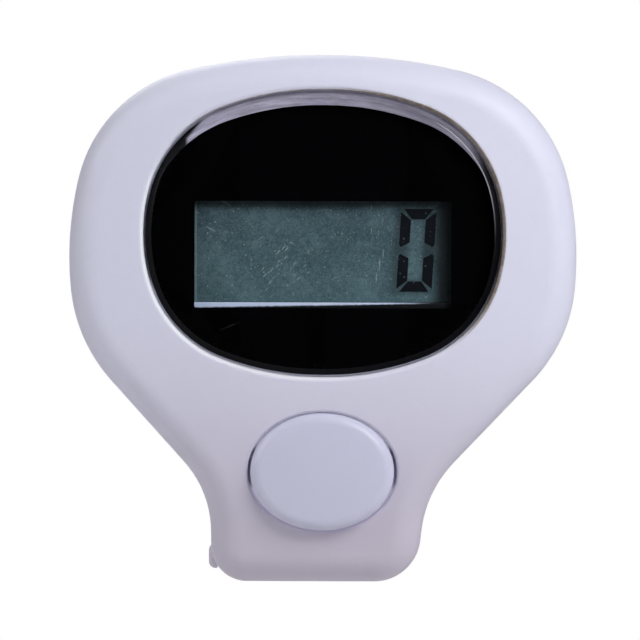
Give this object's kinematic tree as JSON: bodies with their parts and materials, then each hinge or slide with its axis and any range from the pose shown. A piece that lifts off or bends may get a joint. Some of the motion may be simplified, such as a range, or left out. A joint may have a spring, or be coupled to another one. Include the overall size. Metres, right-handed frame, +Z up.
{
  "type": "digital tally counter",
  "caption": "Pear-shaped finger counter with an oval display window, a round push button under it and a hinged finger strap behind.",
  "frame": {"origin": "on the surface it stands on, straight below the middle of the display, at the parting plane of the two case shells", "axes": "+X to the right seen from the front, +Y backwards through the finger strap, +Z up; the display and the count button face -Y"},
  "size_m": [0.038, 0.0272, 0.0395],
  "materials": {
    "case_white": "fine satin moulding",
    "button_white": "smooth moulding",
    "strap_white": "soft satin moulding",
    "lens_clear": "polished",
    "mask_black": "printed black",
    "tape_grey": "tape",
    "lcd_face": "grey-green film",
    "lcd_glass": "polished",
    "lcd_back": "brushed film",
    "frame_white": "smooth",
    "rubber_dark": "layered",
    "board_green": "solder mask",
    "epoxy_black": "glossy epoxy",
    "chip_tan": "matte",
    "chip_black": "matte",
    "switch_black": "moulded",
    "plunger_black": "moulded",
    "cell_steel": "nickel plated",
    "contact_nickel": "nickel plated",
    "screw_steel": "zinc plated"
  },
  "bodies": {
    "case": {"front_shell": "case_white", "rear_shell": "case_white", "display_lens": "lens_clear", "display_mask": "mask_black", "lens_adhesive": "tape_grey", "lcd_front_polarizer": "lcd_face", "lcd_front_glass": "lcd_glass", "lcd_rear_glass": "lcd_glass", "lcd_reflector": "lcd_back", "lcd_frame": "frame_white", "zebra_strip": "rubber_dark", "circuit_board": "board_green", "chip_blob": "epoxy_black", "chip_capacitors": "chip_tan", "chip_resistors": "chip_black", "count_switch_body": "switch_black", "reset_switch_body": "switch_black", "battery_cell": "cell_steel", "battery_contact_positive": "contact_nickel", "battery_contact_negative": "contact_nickel", "case_screws": "screw_steel", "board_screws": "screw_steel", "strap_pin": "case_white"},
    "count_button": {"count_button": "button_white"},
    "count_plunger": {"count_switch_plunger": "plunger_black"},
    "reset_button": {"reset_button": "button_white"},
    "reset_plunger": {"reset_switch_plunger": "plunger_black"},
    "battery_door": {"battery_door": "case_white"},
    "finger_strap": {"finger_strap": "strap_white"}
  },
  "joints": [
    {"name": "count_press", "type": "slide", "parent": "case", "child": "count_button", "axis": [0, 1, 0], "range_m": [0, 0.00035], "stiffness_N_per_m": 4000},
    {"name": "count_plunger_press", "type": "slide", "parent": "case", "child": "count_plunger", "axis": [0, 1, 0], "range_m": [0, 0.00035]},
    {"name": "reset_press", "type": "slide", "parent": "case", "child": "reset_button", "axis": [0, -1, 0], "range_m": [0, 0.00025], "stiffness_N_per_m": 4000},
    {"name": "reset_plunger_press", "type": "slide", "parent": "case", "child": "reset_plunger", "axis": [0, -1, 0], "range_m": [0, 0.00025]},
    {"name": "door_turn", "type": "hinge", "parent": "case", "child": "battery_door", "pos_m": [0, 0.0046, 0.0309], "axis": [0, 1, 0], "range_deg": [0, 60]},
    {"name": "strap_swing", "type": "hinge", "parent": "case", "child": "finger_strap", "pos_m": [0, 0.00295, 0.00165], "axis": [-1, 0, 0], "range_deg": [0, 75]}
  ],
  "couplings": [
    {"joint": "count_plunger_press", "follows": "count_press", "ratio": 1},
    {"joint": "reset_plunger_press", "follows": "reset_press", "ratio": 1}
  ]
}
